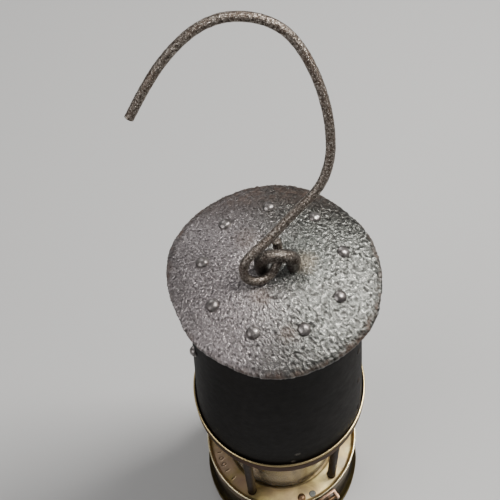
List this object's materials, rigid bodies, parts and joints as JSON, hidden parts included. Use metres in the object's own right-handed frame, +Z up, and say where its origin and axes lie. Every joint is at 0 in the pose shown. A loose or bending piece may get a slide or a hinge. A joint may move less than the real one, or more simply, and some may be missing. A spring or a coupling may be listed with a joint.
{
  "type": "miner's flame safety lamp",
  "caption": "Flame safety lamp with oil font, pillared glass, sheet bonnet over gauzes, riveted domed crown and a loose hanging hook.",
  "frame": {"origin": "centre of the flat underside of the font", "axes": "+Z up along the lamp's body, -Y the front, which carries the lock, the hook leans back towards +Y"},
  "size_m": [0.0931, 0.0936, 0.3485],
  "materials": {
    "rusty_steel": "mottled, rust-browned wire",
    "pitted_iron": "hammered and pitted, half-gloss with browned rim",
    "black_iron": "black sheet iron, worn paint",
    "ring_brass": "dark reflective brass, bright lip",
    "bronze_iron": "browned iron",
    "aged_brass": "aged brass, mottled tarnish, bright edges",
    "font_brass": "olive tarnished brass",
    "lock_copper": "coppery brown metal",
    "lead": "dull grey lead",
    "clear_glass": "slightly cloudy glass",
    "gauze_wire": "blackened wire gauze",
    "seal_leather": "oiled leather",
    "seal_fibre": "fibre washer",
    "wick_cotton": "cotton"
  },
  "bodies": {
    "oil_font": {"font_bottom": "font_brass", "font_wall": "font_brass", "font_top": "font_brass", "font_lock_lug": "lock_copper", "wick_tube": "aged_brass", "wick_tube_collar": "aged_brass", "wick": "wick_cotton", "cotton_packing": "wick_cotton", "pricker_well": "font_brass", "pricker_tube": "aged_brass"},
    "font_seal": {"font_seal": "seal_leather"},
    "lamp_frame": {"crown_staple": "rusty_steel", "crown_plate": "pitted_iron", "crown_rivet_1": "pitted_iron", "crown_rivet_2": "pitted_iron", "crown_rivet_3": "pitted_iron", "crown_rivet_4": "pitted_iron", "crown_rivet_5": "pitted_iron", "crown_rivet_6": "pitted_iron", "crown_rivet_7": "pitted_iron", "crown_rivet_8": "pitted_iron", "crown_rivet_9": "pitted_iron", "staple_backing_plate": "black_iron", "bonnet_top_ring": "black_iron", "bonnet_shell": "black_iron", "bonnet_seam_rivet_1": "black_iron", "bonnet_seam_rivet_2": "black_iron", "bonnet_seam_rivet_3": "black_iron", "bonnet_seam_rivet_4": "black_iron", "bonnet_side_rivet": "black_iron", "middle_ring": "ring_brass", "pillar_1": "bronze_iron", "pillar_2": "bronze_iron", "pillar_3": "bronze_iron", "pillar_4": "bronze_iron", "pillar_5": "bronze_iron", "lock_rivet": "bronze_iron", "hasp_hinge_pin": "bronze_iron", "lower_ring": "aged_brass", "glass_seat_ring": "aged_brass", "gauze_seat_ring": "aged_brass", "hasp_hinge_block": "lock_copper", "lead_plug": "lead", "glass_cylinder": "clear_glass", "gauze_inner": "gauze_wire", "gauze_outer": "gauze_wire", "glass_top_washer": "seal_fibre", "glass_bottom_washer": "seal_fibre"},
    "hanging_hook": {"hanging_hook": "rusty_steel"},
    "lock_hasp": {"lock_hasp": "lock_copper"},
    "pricker": {"pricker_wire": "rusty_steel"},
    "filler_washer": {"filler_washer": "seal_leather"},
    "filler_cap": {"filler_cap": "aged_brass"}
  },
  "joints": [
    {"name": "frame_lift", "type": "slide", "parent": "oil_font", "child": "font_seal", "axis": [0, 0, 1], "range_m": [0, 0.0061]},
    {"name": "frame_unscrew", "type": "hinge", "parent": "font_seal", "child": "lamp_frame", "pos_m": [0, 0, 0.045], "axis": [0, 0, 1], "range_deg": [0, 1440]},
    {"name": "hook_swing", "type": "hinge", "parent": "lamp_frame", "child": "hanging_hook", "pos_m": [0, -0.0031, 0.2754], "axis": [1, 0, 0], "range_deg": [-77, 3]},
    {"name": "hasp_swing", "type": "hinge", "parent": "lamp_frame", "child": "lock_hasp", "pos_m": [0.02491, -0.03986, 0.0516], "axis": [-0.848, -0.5299, 0], "range_deg": [0, 110]},
    {"name": "pricker_slide", "type": "slide", "parent": "oil_font", "child": "pricker", "axis": [0, 0, 1], "range_m": [0, 0.0045]},
    {"name": "filler_lift", "type": "slide", "parent": "oil_font", "child": "filler_washer", "axis": [0, 0, 1], "range_m": [0, 0.0037]},
    {"name": "filler_unscrew", "type": "hinge", "parent": "filler_washer", "child": "filler_cap", "pos_m": [-0.016, 0, 0.041], "axis": [0, 0, 1], "range_deg": [0, 1080]}
  ],
  "couplings": [
    {"joint": "frame_lift", "follows": "frame_unscrew", "m_per_rad": 0.00023873},
    {"joint": "filler_lift", "follows": "filler_unscrew", "m_per_rad": 0.00019099}
  ]
}
